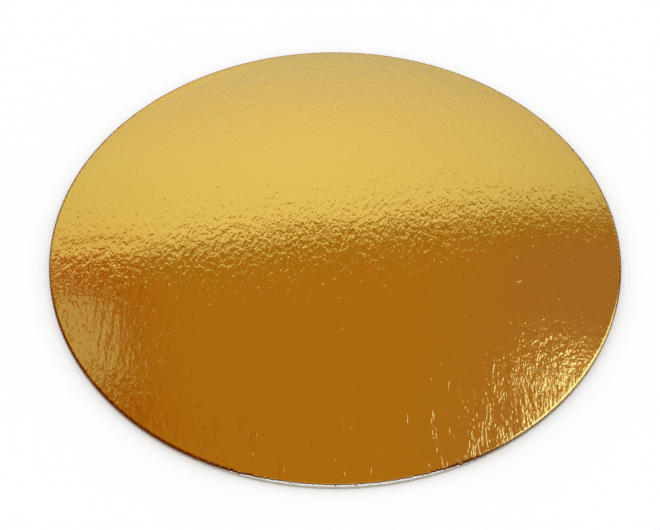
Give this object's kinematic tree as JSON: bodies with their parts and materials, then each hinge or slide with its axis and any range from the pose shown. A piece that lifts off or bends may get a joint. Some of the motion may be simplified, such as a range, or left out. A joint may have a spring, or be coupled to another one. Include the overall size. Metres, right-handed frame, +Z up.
{
  "type": "round cake board",
  "caption": "Flat round card board with a shiny gold foil face, a rolled top edge and a bare die-cut card wall, for carrying a cake.",
  "frame": {"origin": "middle of the underside, where the board lies on a table", "axes": "+Z up out of the foil face; X and Y lie in the board, and the card's grain runs along Y"},
  "size_m": [0.254, 0.254, 0.003],
  "materials": {
    "gold_foil": "mirror-bright gold foil laminated to card, finely crinkled, clear lacquered",
    "cut_card": "bare die-cut white card, fibrous, greyer towards the underside"
  },
  "bodies": {
    "root": {"cake_board": "gold_foil"}
  },
  "joints": []
}
